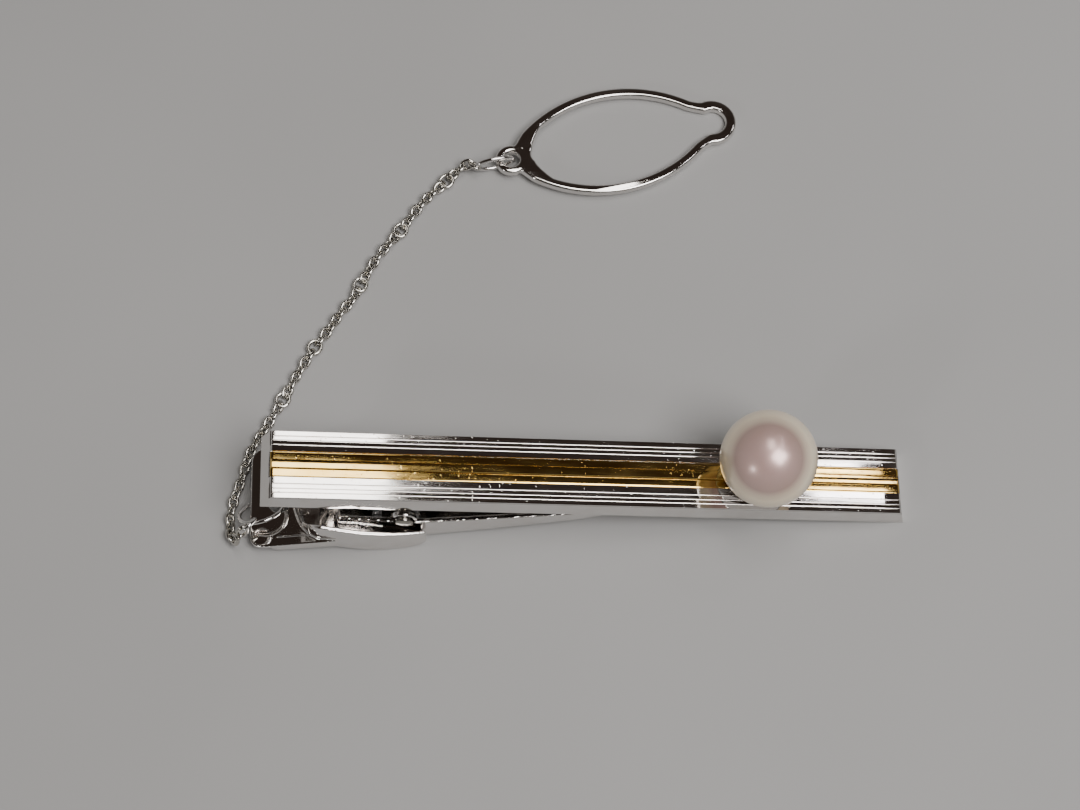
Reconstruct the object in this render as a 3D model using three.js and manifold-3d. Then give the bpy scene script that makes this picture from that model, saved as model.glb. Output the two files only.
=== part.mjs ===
// A pearl tie bar with a sprung clip, a safety chain and a flat button loop, lying on a table.
//
// Units are millimetres and +Z is up. The table is z = 0. The origin is under the middle of the
// clip and bar. The bar runs along X with its clip end at -X, propped up by the clip beneath it,
// and the chain and the button loop lie beyond it, at +Y.

import * as THREE from 'three';
import { mergeVertices } from 'three/addons/utils/BufferGeometryUtils.js';
import Module from 'manifold-3d';

const wasm = await Module();
wasm.setup();

// ---------- driving dimensions ----------

const RUNNING_GAP = 0.04; // between pieces that are fitted together

// Bar: a shallow ribbed tray, open underneath. Its own frame has s along it, y across it and
// h above its rim, with s = 0 at the clip end of the ribbed face.
const BAR_FACE_LENGTH = 54.2;
const BAR_FACE_START_X = -26;
const BAR_RIM_OVERHANG = 0.75; // the end walls slope out by this much at the rim
const BAR_PITCH = THREE.MathUtils.degToRad(8.29);
const BAR_RIM_HALF_WIDTH = 3.1;
const BAR_FACE_HALF_WIDTH = 3.0;
const BAR_WALL = 0.4;
const FACE_HEIGHT = 2.05; // crown of the face above the rim
const FACE_CROWN = 0.25; // how much lower the long edges of the face are
const CEILING_HEIGHT = 1.35; // underside of the face above the rim
const SIDE_RIB_COUNT = 4; // on each side of the gold band
const SIDE_RIB_HEIGHT = 0.17;
const RIB_ARC_STEPS = 6;

// Gold band let into the middle of the face.
const GOLD_HALF_WIDTH = 1.1;
const GOLD_THICKNESS = 0.35;
const GOLD_RIB_HALF_WIDTH = 0.42;
const GOLD_RIB_HEIGHT = 0.34;
const GOLD_RIB_ARC_STEPS = 10;
const GOLD_END_SETBACK = 0.2;

// Pearl on its cup and peg.
const PEARL_RADIUS = 4.13;
const PEARL_S = 41.5;
const PEARL_CENTRE_HEIGHT = 6.68;
const PEARL_SEGMENTS = 40;
const CUP_RIM_DEPTH = 2.85; // below the centre of the pearl
const CUP_THICKNESS = 0.2;
const CUP_SEAT_RADIUS = 1.5;
const PEG_RADIUS = 0.4;
const PEG_HEAD_RADIUS = 0.85;
const PEG_HEAD_THICKNESS = 0.25;
const PEG_TOP_ABOVE_CENTRE = 0.8;

// Hinge: a pin across the clip, held in the ears of the jaw arm.
const PIN_X = -14.9;
const PIN_Z = 4.6;
const PIN_RADIUS = 0.58;
const PIN_HEAD_RADIUS = 0.95;
const PIN_HEAD_THICKNESS = 0.28;
const PIN_HALF_LENGTH = 3.85;
const PIN_SEGMENTS = 32;
const EAR_RADIUS = 1.1;

// Bracket soldered under the face, whose two ears turn on the pin.
const BRACKET_HALF_LENGTH = 1.9;
const BRACKET_HALF_WIDTH = 1.9;
const BRACKET_SHEET = 0.4;
const BRACKET_EAR_RADIUS = 1.0;

// Torsion spring round the pin, with one leg under the bar and one on the jaw arm's floor.
const SPRING_WIRE_RADIUS = 0.17;
const SPRING_COIL_RADIUS = 0.95;
const SPRING_TURNS = 4;
const SPRING_HALF_LENGTH = 0.95;
const SPRING_STEPS_PER_TURN = 16;
const SPRING_UPPER_END = { x: -19.0, z: 7.55 };
const SPRING_LOWER_END = { x: -19.6, z: 2.2 };

// Thumb lever: a flanged thumb pad that runs into two curved cheeks with a floor between them.
const LEVER_SHEET = 0.4;
const PAD_END_X = -28.4;
const PAD_INNER_X = -20.8;
const PAD_HALF_WIDTH = 4.55;
const PAD_CORNER = 1.3;
const PAD_TOP_AT_END = 1.3;
const PAD_TOP_AT_INNER = 2.65;
const PAD_PLATE = 0.4;
const PAD_FLANGE = 1.25; // height of the turned-down long edges
const NOSE_X = -24.6;
const SHOULDER_X = -21.8;
const SHOULDER_HALF_WIDTH = 4.25;
const CHEEK_MID_X = -17.3;
const CHEEK_MID_CONTROL = 5.0;
const CHEEK_END_X = -13.1;
const CHEEK_END_HALF_WIDTH = 4.1;
const TAIL_HOLE = { x: -25.8, y: -0.45, radius: 1.0 };

// Jaw arm: a tapering trough between the cheeks, toothed where it closes inside the bar.
const JAW_SHEET = 0.45;
const JAW_TAIL_X = -20.7;
const JAW_TIP_X = 9.0;
const JAW_TOOTH_COUNT = 7;
const JAW_TOOTH_PITCH = 0.85;
const JAW_TOOTH_DEPTH = 0.3;

// Chain and its rings.
const CHAIN_RADIUS = 0.5;
const CHAIN_SIDES = 8;
const CHAIN_STEPS = 34;
const RING_SIDES = 10;
const RING_STEPS = 40;
const TAIL_RING_RADIUS = 1.95;
const TAIL_RING_WIRE = 0.18;
const TAIL_RING_LEAN = THREE.MathUtils.degToRad(42);
const TAIL_RING_ROUND_PAD = { x: -28.92, y: -0.8, z: 0.94 };
const TAIL_RING_IN_HOLE = { x: -25.7, y: TAIL_HOLE.y, z: 1.58 };
const CONNECTOR_RADIUS = 0.85;
const CONNECTOR_WIRE = 0.16;
const CONNECTOR_AT = THREE.MathUtils.degToRad(112); // round the tail ring from its line of lean
const CONNECTOR_OVERLAP = 0.36; // its centre is this far outside the tail ring's wire
const CONNECTOR_DROP = { x: -0.55, y: -0.35, z: -0.35 }; // towards the chain
const END_RING_WIRE = 0.2;
const END_RING_HALF_LENGTH = 1.75;
const END_RING_HALF_HEIGHT = 0.85;
const END_RING_CENTRE = { u: -1.55, w: 0.47 }; // in the button loop's frame

// Route of the chain's middle line, from the rings on the lever to the ring at the button loop.
const CHAIN_ROUTE = [
  [-29.15, -3.65, 1.95],
  [-29.5, -3.8, 1.4],
  [-29.95, -3.45, 0.85],
  [-30.15, -2.6, 0.6],
  [-30.2, -1.4, 0.55],
  [-29.9, 0.3, 0.55],
  [-29.3, 2.1, 0.55],
  [-28.7, 4.3, 0.55],
  [-27.4, 6.7, 0.55],
  [-26.2, 8.8, 0.55],
  [-24.9, 11.3, 0.55],
  [-23.2, 14.3, 0.55],
  [-21.9, 16.1, 0.55],
  [-20.7, 17.9, 0.55],
  [-19.7, 19.2, 0.55],
  [-19.0, 20.6, 0.55],
  [-17.9, 22.6, 0.55],
  [-16.7, 24.3, 0.55],
  [-15.4, 25.9, 0.55],
  [-14.25, 27.5, 0.55],
  [-13.0, 29.1, 0.55],
  [-11.5, 30.5, 0.6],
  [-10.1, 31.75, 0.85],
  [-9.0, 32.3, 1.1],
];

// Button loop: a flat band, its own frame having u along it from the middle of its eye.
const LOOP_EYE = { x: -5.15, y: 32.57 };
const LOOP_ANGLE = THREE.MathUtils.degToRad(11.5);
const LOOP_TILT = THREE.MathUtils.degToRad(1.75); // the eye is propped up on its ring
const LOOP_THICKNESS = 0.8;
const LOOP_LENGTH_TO_END = 21.45;
const EYE_RADIUS = 1.45;
const EYE_HOLE_RADIUS = 0.78;
const BOW_CENTRE_U = 9.7;
const BOW_HALF_HEIGHT = 5.35;
const BOW_RADIUS = 12.9;
const BAND_WIDTH = 0.85;
const BOW_INNER_TIP_U = 1.95;
const KEYHOLE_U = 19.2;
const KEYHOLE_RADIUS = 2.25;
const KEYHOLE_INNER_RADIUS = 1.25;

// ---------- materials ----------

const SILVER = { color: 0xc9c7c4, roughness: 0.12, metalness: 1 };
const DARK_SILVER = { color: 0xa9a6a2, roughness: 0.2, metalness: 1 };
const GOLD = { color: 0xd9a441, roughness: 0.16, metalness: 1 };
const NACRE = { color: 0xd8c6ba, roughness: 0.22, metalness: 0 };
const SPRING_STEEL = { color: 0x8d8f93, roughness: 0.3, metalness: 1 };

// ---------- helpers ----------

function asSolid(geometry) {
  const bare = geometry.index ? geometry.toNonIndexed() : geometry.clone();
  bare.deleteAttribute('normal');
  bare.deleteAttribute('uv');
  const welded = mergeVertices(bare, 1e-5);
  return new wasm.Manifold(new wasm.Mesh({
    numProp: 3,
    vertProperties: new Float32Array(welded.attributes.position.array),
    triVerts: new Uint32Array(welded.index.array),
  }));
}

function asGeometry(solid) {
  const mesh = solid.getMesh();
  const geometry = new THREE.BufferGeometry();
  geometry.setAttribute('position', new THREE.BufferAttribute(mesh.vertProperties, 3));
  geometry.setIndex(new THREE.BufferAttribute(mesh.triVerts, 1));
  geometry.computeVertexNormals();
  return geometry;
}

function node(name, geometry, finish) {
  const mesh = new THREE.Mesh(geometry, new THREE.MeshStandardMaterial(finish));
  mesh.name = name;
  return mesh;
}

function outline(points) {
  const shape = new THREE.Shape();
  shape.setFromPoints(points.map(([a, b]) => new THREE.Vector2(a, b)));
  return shape;
}

// A prism of a side view drawn as (x, z), standing across Y.
function acrossY(shape, halfWidth, curveSegments = 16) {
  const geometry = new THREE.ExtrudeGeometry(shape, {
    depth: 2 * halfWidth,
    bevelEnabled: false,
    curveSegments,
  });
  geometry.rotateX(Math.PI / 2);
  geometry.translate(0, halfWidth, 0);
  return asSolid(geometry);
}

// A prism of a cross-section drawn as (y, z), running along X.
function alongX(shape, from, to) {
  const geometry = new THREE.ExtrudeGeometry(shape, { depth: to - from, bevelEnabled: false });
  const turn = new THREE.Matrix4().makeBasis(
    new THREE.Vector3(0, 1, 0),
    new THREE.Vector3(0, 0, 1),
    new THREE.Vector3(1, 0, 0),
  );
  geometry.applyMatrix4(turn);
  geometry.translate(from, 0, 0);
  return asSolid(geometry);
}

// A prism of a plan drawn as (x, y), standing up from z = low to z = high.
function upright(shape, low, high, curveSegments = 16) {
  const geometry = new THREE.ExtrudeGeometry(shape, {
    depth: high - low,
    bevelEnabled: false,
    curveSegments,
  });
  geometry.translate(0, 0, low);
  return asSolid(geometry);
}

// A turned piece about Z from a closed profile of [radius, height].
function turned(profile, segments = PIN_SEGMENTS) {
  const points = profile.map(([radius, height]) => new THREE.Vector2(radius, height));
  return new THREE.LatheGeometry(points, segments);
}

// A round bar along Y through (x, z).
function crossBar(x, z, radius, halfLength) {
  const geometry = new THREE.CylinderGeometry(radius, radius, 2 * halfLength, PIN_SEGMENTS);
  geometry.translate(x, 0, z);
  return asSolid(geometry);
}

function circleShape(radius, sides) {
  const points = [];
  for (let i = 0; i < sides; i += 1) {
    const angle = (2 * Math.PI * i) / sides;
    points.push([radius * Math.cos(angle), radius * Math.sin(angle)]);
  }
  return outline(points);
}

function wireAlong(curve, radius, sides, steps) {
  return new THREE.ExtrudeGeometry(circleShape(radius, sides), {
    extrudePath: curve,
    steps,
    bevelEnabled: false,
  });
}

// A closed oval ring of round wire. Its long axis is X and it stands in the XZ plane.
function ovalRing(halfLength, halfHeight, wireRadius) {
  const positions = [];
  const indices = [];
  for (let i = 0; i < RING_STEPS; i += 1) {
    const angle = (2 * Math.PI * i) / RING_STEPS;
    const outward = new THREE.Vector3(
      halfHeight * Math.cos(angle),
      0,
      halfLength * Math.sin(angle),
    ).normalize();
    for (let j = 0; j < RING_SIDES; j += 1) {
      const turn = (2 * Math.PI * j) / RING_SIDES;
      positions.push(
        halfLength * Math.cos(angle) + wireRadius * Math.cos(turn) * outward.x,
        wireRadius * Math.sin(turn),
        halfHeight * Math.sin(angle) + wireRadius * Math.cos(turn) * outward.z,
      );
      const here = i * RING_SIDES + j;
      const beside = i * RING_SIDES + ((j + 1) % RING_SIDES);
      const ahead = ((i + 1) % RING_STEPS) * RING_SIDES + j;
      const across = ((i + 1) % RING_STEPS) * RING_SIDES + ((j + 1) % RING_SIDES);
      indices.push(here, beside, across, here, across, ahead);
    }
  }
  const geometry = new THREE.BufferGeometry();
  geometry.setAttribute('position', new THREE.Float32BufferAttribute(positions, 3));
  geometry.setIndex(indices);
  geometry.computeVertexNormals();
  return geometry;
}

// ---------- bar ----------

function faceHeightAt(y) {
  return FACE_HEIGHT - FACE_CROWN * (y / BAR_FACE_HALF_WIDTH) ** 2;
}

// Points over one rounded rib between two places across the face.
function ribArc(from, to, height, steps) {
  const points = [];
  for (let i = 0; i <= steps; i += 1) {
    const y = from + ((to - from) * i) / steps;
    points.push([y, faceHeightAt(y) + height * Math.sin((Math.PI * i) / steps)]);
  }
  return points;
}

function barSection() {
  const pitch = (BAR_FACE_HALF_WIDTH - GOLD_HALF_WIDTH) / SIDE_RIB_COUNT;
  const points = [[BAR_RIM_HALF_WIDTH, 0]];
  for (let i = 0; i < SIDE_RIB_COUNT; i += 1) {
    const from = BAR_FACE_HALF_WIDTH - i * pitch;
    points.push(...ribArc(from, from - pitch, SIDE_RIB_HEIGHT, RIB_ARC_STEPS).slice(i ? 1 : 0));
  }
  const mirrored = points.map(([y, h]) => [-y, h]).reverse();
  return outline([...points, ...mirrored]);
}

function frontBar() {
  const rimEnd = BAR_FACE_LENGTH + BAR_RIM_OVERHANG;
  const top = FACE_HEIGHT + SIDE_RIB_HEIGHT;
  const endSlope = BAR_RIM_OVERHANG / FACE_HEIGHT;
  const side = outline([
    [-BAR_RIM_OVERHANG, 0],
    [rimEnd, 0],
    [rimEnd - endSlope * top, top],
    [-BAR_RIM_OVERHANG + endSlope * top, top],
  ]);
  const block = acrossY(side, BAR_RIM_HALF_WIDTH + 1)
    .intersect(alongX(barSection(), -BAR_RIM_OVERHANG, rimEnd));
  const innerHalf = BAR_RIM_HALF_WIDTH - BAR_WALL;
  const below = -1;
  const hollow = alongX(
    outline([
      [innerHalf, below],
      [innerHalf, CEILING_HEIGHT],
      [-innerHalf, CEILING_HEIGHT],
      [-innerHalf, below],
    ]),
    BAR_WALL - BAR_RIM_OVERHANG,
    rimEnd - BAR_WALL,
  );
  const endSlopedHollow = hollow.intersect(acrossY(outline([
    [BAR_WALL - BAR_RIM_OVERHANG, below],
    [rimEnd - BAR_WALL, below],
    [rimEnd - BAR_WALL, 0],
    [BAR_FACE_LENGTH - BAR_WALL, CEILING_HEIGHT],
    [BAR_WALL, CEILING_HEIGHT],
    [BAR_WALL - BAR_RIM_OVERHANG, 0],
  ]), innerHalf + 1));
  const groove = alongX(goldSection(RUNNING_GAP), -BAR_RIM_OVERHANG - 1, rimEnd + 1);
  return block.subtract(endSlopedHollow).subtract(groove).subtract(pegHole(RUNNING_GAP));
}

// Cross-section of the gold band. With room it is the groove that the band lies in.
function goldSection(room = 0) {
  const bottom = faceHeightAt(GOLD_HALF_WIDTH) - GOLD_THICKNESS - room;
  const edge = GOLD_HALF_WIDTH + room;
  if (room) {
    const above = FACE_HEIGHT + 1;
    return outline([[edge, bottom], [edge, above], [-edge, above], [-edge, bottom]]);
  }
  return outline([
    [edge, bottom],
    [edge, faceHeightAt(edge)],
    ...ribArc(GOLD_RIB_HALF_WIDTH, -GOLD_RIB_HALF_WIDTH, GOLD_RIB_HEIGHT, GOLD_RIB_ARC_STEPS),
    [-edge, faceHeightAt(edge)],
    [-edge, bottom],
  ]);
}

function pegHole(room) {
  const geometry = turned([
    [0, 0],
    [PEG_RADIUS + room, 0],
    [PEG_RADIUS + room, PEARL_CENTRE_HEIGHT + PEG_TOP_ABOVE_CENTRE + room],
    [0, PEARL_CENTRE_HEIGHT + PEG_TOP_ABOVE_CENTRE + room],
  ]);
  geometry.rotateX(Math.PI / 2);
  geometry.translate(PEARL_S, 0, 0);
  return asSolid(geometry);
}

function goldBand() {
  const strip = alongX(goldSection(), GOLD_END_SETBACK, BAR_FACE_LENGTH - GOLD_END_SETBACK);
  return strip.subtract(pegHole(RUNNING_GAP));
}

// ---------- pearl ----------

function standAtPearl(geometry) {
  geometry.rotateX(Math.PI / 2);
  geometry.translate(PEARL_S, 0, 0);
  return geometry;
}

function pearl() {
  const ball = new THREE.SphereGeometry(PEARL_RADIUS, PEARL_SEGMENTS, PEARL_SEGMENTS / 2);
  ball.rotateX(Math.PI / 2);
  ball.translate(PEARL_S, 0, PEARL_CENTRE_HEIGHT);
  return asSolid(ball).subtract(pegHole(RUNNING_GAP));
}

function pearlCup() {
  const inner = PEARL_RADIUS + RUNNING_GAP;
  const outer = inner + CUP_THICKNESS;
  const hole = PEG_RADIUS + RUNNING_GAP;
  const seat = FACE_HEIGHT + GOLD_RIB_HEIGHT + RUNNING_GAP;
  const steps = 8;
  const profile = [];
  const rimAngle = Math.acos(CUP_RIM_DEPTH / inner);
  const holeAngle = Math.asin(hole / inner);
  for (let i = 0; i <= steps; i += 1) {
    const angle = holeAngle + ((rimAngle - holeAngle) * i) / steps;
    profile.push([inner * Math.sin(angle), PEARL_CENTRE_HEIGHT - inner * Math.cos(angle)]);
  }
  const outerRim = Math.acos(CUP_RIM_DEPTH / outer);
  const outerSeat = Math.asin(CUP_SEAT_RADIUS / outer);
  for (let i = 0; i <= steps; i += 1) {
    const angle = outerRim + ((outerSeat - outerRim) * i) / steps;
    profile.push([outer * Math.sin(angle), PEARL_CENTRE_HEIGHT - outer * Math.cos(angle)]);
  }
  const flat = Math.min(seat, profile[profile.length - 1][1] - 0.01);
  profile.push([CUP_SEAT_RADIUS - 0.1, flat], [hole, flat], profile[0]);
  return standAtPearl(turned(profile.reverse()));
}

function pearlPeg() {
  const headTop = CEILING_HEIGHT - RUNNING_GAP;
  const top = PEARL_CENTRE_HEIGHT + PEG_TOP_ABOVE_CENTRE;
  return standAtPearl(turned([
    [0, headTop - PEG_HEAD_THICKNESS],
    [PEG_HEAD_RADIUS, headTop - PEG_HEAD_THICKNESS],
    [PEG_HEAD_RADIUS, headTop],
    [PEG_RADIUS, headTop],
    [PEG_RADIUS, top],
    [0, top],
  ]));
}

// ---------- hinge ----------

// Where the pin is in the bar's own frame.
function pinInBar() {
  const x = PIN_X - BAR_FACE_START_X;
  const z = PIN_Z - barLift();
  return {
    s: x * Math.cos(BAR_PITCH) - z * Math.sin(BAR_PITCH),
    h: x * Math.sin(BAR_PITCH) + z * Math.cos(BAR_PITCH),
  };
}

// Height of the bar frame's origin, so that the far end of the rim rests on the table.
function barLift() {
  return (BAR_FACE_LENGTH + BAR_RIM_OVERHANG) * Math.sin(BAR_PITCH);
}

function hingeBracket() {
  const pin = pinInBar();
  const top = CEILING_HEIGHT - RUNNING_GAP;
  const side = new THREE.Shape();
  side.moveTo(pin.s - BRACKET_HALF_LENGTH, top);
  side.lineTo(pin.s - BRACKET_HALF_LENGTH, top - BRACKET_SHEET);
  side.lineTo(pin.s - BRACKET_EAR_RADIUS, pin.h);
  side.absarc(pin.s, pin.h, BRACKET_EAR_RADIUS, Math.PI, 2 * Math.PI, false);
  side.lineTo(pin.s + BRACKET_HALF_LENGTH, top - BRACKET_SHEET);
  side.lineTo(pin.s + BRACKET_HALF_LENGTH, top);
  const whole = acrossY(side, BRACKET_HALF_WIDTH);
  const between = acrossY(outline([
    [pin.s - BRACKET_HALF_LENGTH - 1, pin.h - 2],
    [pin.s + BRACKET_HALF_LENGTH + 1, pin.h - 2],
    [pin.s + BRACKET_HALF_LENGTH + 1, top - BRACKET_SHEET],
    [pin.s - BRACKET_HALF_LENGTH - 1, top - BRACKET_SHEET],
  ]), BRACKET_HALF_WIDTH - BRACKET_SHEET);
  const hole = crossBar(pin.s, pin.h, PIN_RADIUS + RUNNING_GAP, BRACKET_HALF_WIDTH + 1);
  return whole.subtract(between).subtract(hole);
}

function hingePin() {
  const headFrom = PIN_HALF_LENGTH - PIN_HEAD_THICKNESS;
  const geometry = turned([
    [0, -PIN_HALF_LENGTH],
    [PIN_HEAD_RADIUS, -PIN_HALF_LENGTH],
    [PIN_HEAD_RADIUS, -headFrom],
    [PIN_RADIUS, -headFrom],
    [PIN_RADIUS, headFrom],
    [PIN_HEAD_RADIUS, headFrom],
    [PIN_HEAD_RADIUS, PIN_HALF_LENGTH],
    [0, PIN_HALF_LENGTH],
  ]);
  geometry.translate(PIN_X, 0, PIN_Z);
  return geometry;
}

function torsionSpring() {
  const points = [];
  const legStart = SPRING_HALF_LENGTH;
  points.push(new THREE.Vector3(SPRING_UPPER_END.x, -legStart, SPRING_UPPER_END.z));
  points.push(new THREE.Vector3(
    (SPRING_UPPER_END.x + PIN_X) / 2,
    -legStart,
    (SPRING_UPPER_END.z + PIN_Z + SPRING_COIL_RADIUS) / 2 + 0.25,
  ));
  const firstAngle = Math.PI * 0.66;
  const lastAngle = -2 * Math.PI * SPRING_TURNS - Math.PI * 0.6;
  const count = Math.round(((firstAngle - lastAngle) / (2 * Math.PI)) * SPRING_STEPS_PER_TURN);
  for (let i = 0; i <= count; i += 1) {
    const angle = firstAngle + ((lastAngle - firstAngle) * i) / count;
    points.push(new THREE.Vector3(
      PIN_X + SPRING_COIL_RADIUS * Math.cos(angle),
      -legStart + (2 * legStart * i) / count,
      PIN_Z + SPRING_COIL_RADIUS * Math.sin(angle),
    ));
  }
  points.push(new THREE.Vector3(
    (SPRING_LOWER_END.x + PIN_X) / 2,
    legStart,
    (SPRING_LOWER_END.z + PIN_Z - SPRING_COIL_RADIUS) / 2 - 0.1,
  ));
  points.push(new THREE.Vector3(SPRING_LOWER_END.x, legStart, SPRING_LOWER_END.z));
  const curve = new THREE.CatmullRomCurve3(points, false, 'centripetal');
  return wireAlong(curve, SPRING_WIRE_RADIUS, CHAIN_SIDES, 2 * count);
}

// ---------- thumb lever ----------

// Plan of the cheeks and their round nose, drawn in by inset all round except at the open end.
function cheekPlan(inset, endX) {
  const nose = NOSE_X + inset;
  const shoulder = SHOULDER_HALF_WIDTH - inset;
  const mid = CHEEK_MID_CONTROL - inset;
  const end = CHEEK_END_HALF_WIDTH - inset;
  const shape = new THREE.Shape();
  shape.moveTo(endX, -end);
  shape.lineTo(endX, end);
  shape.quadraticCurveTo(CHEEK_MID_X, mid, SHOULDER_X, shoulder);
  shape.bezierCurveTo(SHOULDER_X - 1.4, shoulder, nose, shoulder * 0.6, nose, 0);
  shape.bezierCurveTo(nose, -shoulder * 0.6, SHOULDER_X - 1.4, -shoulder, SHOULDER_X, -shoulder);
  shape.quadraticCurveTo(CHEEK_MID_X, -mid, endX, -end);
  return shape;
}

// Side view of the cheeks. Lifted by floor, the same curve is the top of the floor.
function cheekSide() {
  const shape = new THREE.Shape();
  shape.moveTo(CHEEK_END_X, 3.0);
  shape.lineTo(CHEEK_END_X, 1.3);
  shape.quadraticCurveTo(CHEEK_END_X, 0.1, CHEEK_END_X - 1.3, 0);
  shape.lineTo(-16.6, 0);
  shape.bezierCurveTo(-18.8, 0, -20, 0.9, NOSE_X, 0.9);
  shape.lineTo(NOSE_X, 2.25);
  shape.lineTo(-23.7, 2.35);
  shape.quadraticCurveTo(-22.9, 5.2, -21.9, 5.15);
  shape.quadraticCurveTo(-19.5, 4.8, -18.6, 4.4);
  shape.quadraticCurveTo(-15.5, 3.7, CHEEK_END_X, 3.0);
  return shape;
}

// Everything above the floor of the lever, seen from the side.
function aboveFloor() {
  const top = 8;
  const shape = new THREE.Shape();
  shape.moveTo(CHEEK_END_X + 1, LEVER_SHEET);
  shape.lineTo(-16.6, LEVER_SHEET);
  shape.bezierCurveTo(-18.8, LEVER_SHEET, -20, 0.9 + LEVER_SHEET, NOSE_X, 0.9 + LEVER_SHEET);
  shape.lineTo(NOSE_X, top);
  shape.lineTo(CHEEK_END_X + 1, top);
  return shape;
}

function padPlan(inset, fromX) {
  const half = PAD_HALF_WIDTH - inset;
  const corner = PAD_CORNER - inset;
  const shape = new THREE.Shape();
  shape.moveTo(PAD_INNER_X, -half);
  shape.lineTo(PAD_INNER_X, half);
  shape.lineTo(fromX + corner, half);
  shape.quadraticCurveTo(fromX, half, fromX, half - corner);
  shape.lineTo(fromX, corner - half);
  shape.quadraticCurveTo(fromX, -half, fromX + corner, -half);
  return shape;
}

// A slab of the pad between two depths below its sloping top.
function padSlab(upper, lower) {
  return acrossY(outline([
    [PAD_END_X, PAD_TOP_AT_END - upper],
    [PAD_END_X, PAD_TOP_AT_END - lower],
    [PAD_INNER_X, PAD_TOP_AT_INNER - lower],
    [PAD_INNER_X, PAD_TOP_AT_INNER - upper],
  ]), PAD_HALF_WIDTH + 1);
}

function thumbPad() {
  const plate = upright(padPlan(0, PAD_END_X), -1, 4).intersect(padSlab(0, PAD_PLATE));
  const flangeStart = PAD_END_X + PAD_CORNER;
  const skirt = upright(padPlan(0, flangeStart), -1, 4).intersect(padSlab(0, PAD_FLANGE));
  const inside = acrossY(outline([
    [PAD_END_X - 1, -2],
    [PAD_INNER_X + 1, -2],
    [PAD_INNER_X + 1, PAD_TOP_AT_INNER - PAD_PLATE + 0.19],
    [PAD_INNER_X, PAD_TOP_AT_INNER - PAD_PLATE],
    [PAD_END_X, PAD_TOP_AT_END - PAD_PLATE],
    [PAD_END_X - 1, PAD_TOP_AT_END - PAD_PLATE - 0.19],
  ]), PAD_HALF_WIDTH - LEVER_SHEET);
  return plate.add(skirt.subtract(inside));
}

function thumbLever() {
  const outside = upright(cheekPlan(0, CHEEK_END_X), -1, 7).intersect(acrossY(cheekSide(), 6));
  const inside = upright(cheekPlan(LEVER_SHEET, CHEEK_END_X + 1), -1, 9)
    .intersect(acrossY(aboveFloor(), 6));
  const hole = new THREE.CylinderGeometry(TAIL_HOLE.radius, TAIL_HOLE.radius, 6, PIN_SEGMENTS);
  hole.rotateX(Math.PI / 2);
  hole.translate(TAIL_HOLE.x, TAIL_HOLE.y, 0);
  return thumbPad().add(outside).subtract(inside).subtract(asSolid(hole));
}

// ---------- jaw arm ----------

function jawPlan(inset) {
  const shape = new THREE.Shape();
  shape.moveTo(JAW_TAIL_X - inset, inset - 3.05);
  shape.lineTo(-14, inset - 3.45);
  shape.lineTo(-0.1, inset - 2.85);
  shape.lineTo(4, inset - 2.45);
  shape.lineTo(JAW_TIP_X - 0.8, inset - 2.1);
  shape.quadraticCurveTo(JAW_TIP_X - inset, inset - 2.0, JAW_TIP_X - inset, 0);
  shape.quadraticCurveTo(JAW_TIP_X - inset, 2.0 - inset, JAW_TIP_X - 0.8, 2.1 - inset);
  shape.lineTo(4, 2.45 - inset);
  shape.lineTo(-0.1, 2.85 - inset);
  shape.lineTo(-14, 3.45 - inset);
  shape.lineTo(JAW_TAIL_X - inset, 3.05 - inset);
  return shape;
}

function jawBottom(shape, lift) {
  shape.moveTo(JAW_TAIL_X, 1.5 + lift);
  shape.lineTo(-17, 0.46 + lift);
  shape.lineTo(-13.1, 0.46 + lift);
  shape.quadraticCurveTo(-6, 0.9 + lift, JAW_TIP_X, 3.4 + lift);
}

function jawSide() {
  const shape = new THREE.Shape();
  jawBottom(shape, 0);
  const tipTop = 4.0;
  shape.lineTo(JAW_TIP_X, tipTop - JAW_TOOTH_DEPTH);
  for (let i = 0; i < JAW_TOOTH_COUNT; i += 1) {
    const x = JAW_TIP_X - i * JAW_TOOTH_PITCH;
    const drop = 0.045 * i;
    shape.lineTo(x - 0.15, tipTop - drop);
    shape.lineTo(x - JAW_TOOTH_PITCH, tipTop - drop - JAW_TOOTH_DEPTH);
  }
  shape.quadraticCurveTo(-3, 3.35, -12.7, 3.75);
  const ear = Math.atan2(-0.75, 0.85);
  shape.absarc(PIN_X, PIN_Z, EAR_RADIUS, ear, Math.PI - ear, false);
  shape.lineTo(JAW_TAIL_X, 4.3);
  return shape;
}

function jawTrough() {
  const shape = new THREE.Shape();
  jawBottom(shape, JAW_SHEET);
  shape.lineTo(JAW_TIP_X + 1, 8);
  shape.lineTo(JAW_TAIL_X - 1, 8);
  shape.lineTo(JAW_TAIL_X - 1, 1.5 + JAW_SHEET);
  return shape;
}

function jawArm() {
  const outside = upright(jawPlan(0), 0, 7).intersect(acrossY(jawSide(), 5));
  const inside = upright(jawPlan(JAW_SHEET), 0, 9).intersect(acrossY(jawTrough(), 5));
  const hole = crossBar(PIN_X, PIN_Z, PIN_RADIUS + RUNNING_GAP, 5);
  return outside.subtract(inside).subtract(hole);
}

// ---------- rings, chain and button loop ----------

// The tail ring passes through the pad's hole and round the pad's end, and leans towards -Y.
function tailRingFrame() {
  const start = new THREE.Vector3(...Object.values(TAIL_RING_ROUND_PAD));
  const end = new THREE.Vector3(...Object.values(TAIL_RING_IN_HOLE));
  const along = end.clone().sub(start);
  const half = along.length() / 2;
  along.normalize();
  const level = new THREE.Vector3(along.y, -along.x, 0).normalize();
  const up = level.clone().cross(along);
  const across = level.multiplyScalar(Math.cos(TAIL_RING_LEAN));
  across.addScaledVector(up, Math.sin(TAIL_RING_LEAN));
  const centre = start.add(end).multiplyScalar(0.5);
  centre.addScaledVector(across, Math.sqrt(TAIL_RING_RADIUS ** 2 - half ** 2));
  return { along, across, centre };
}

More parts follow.
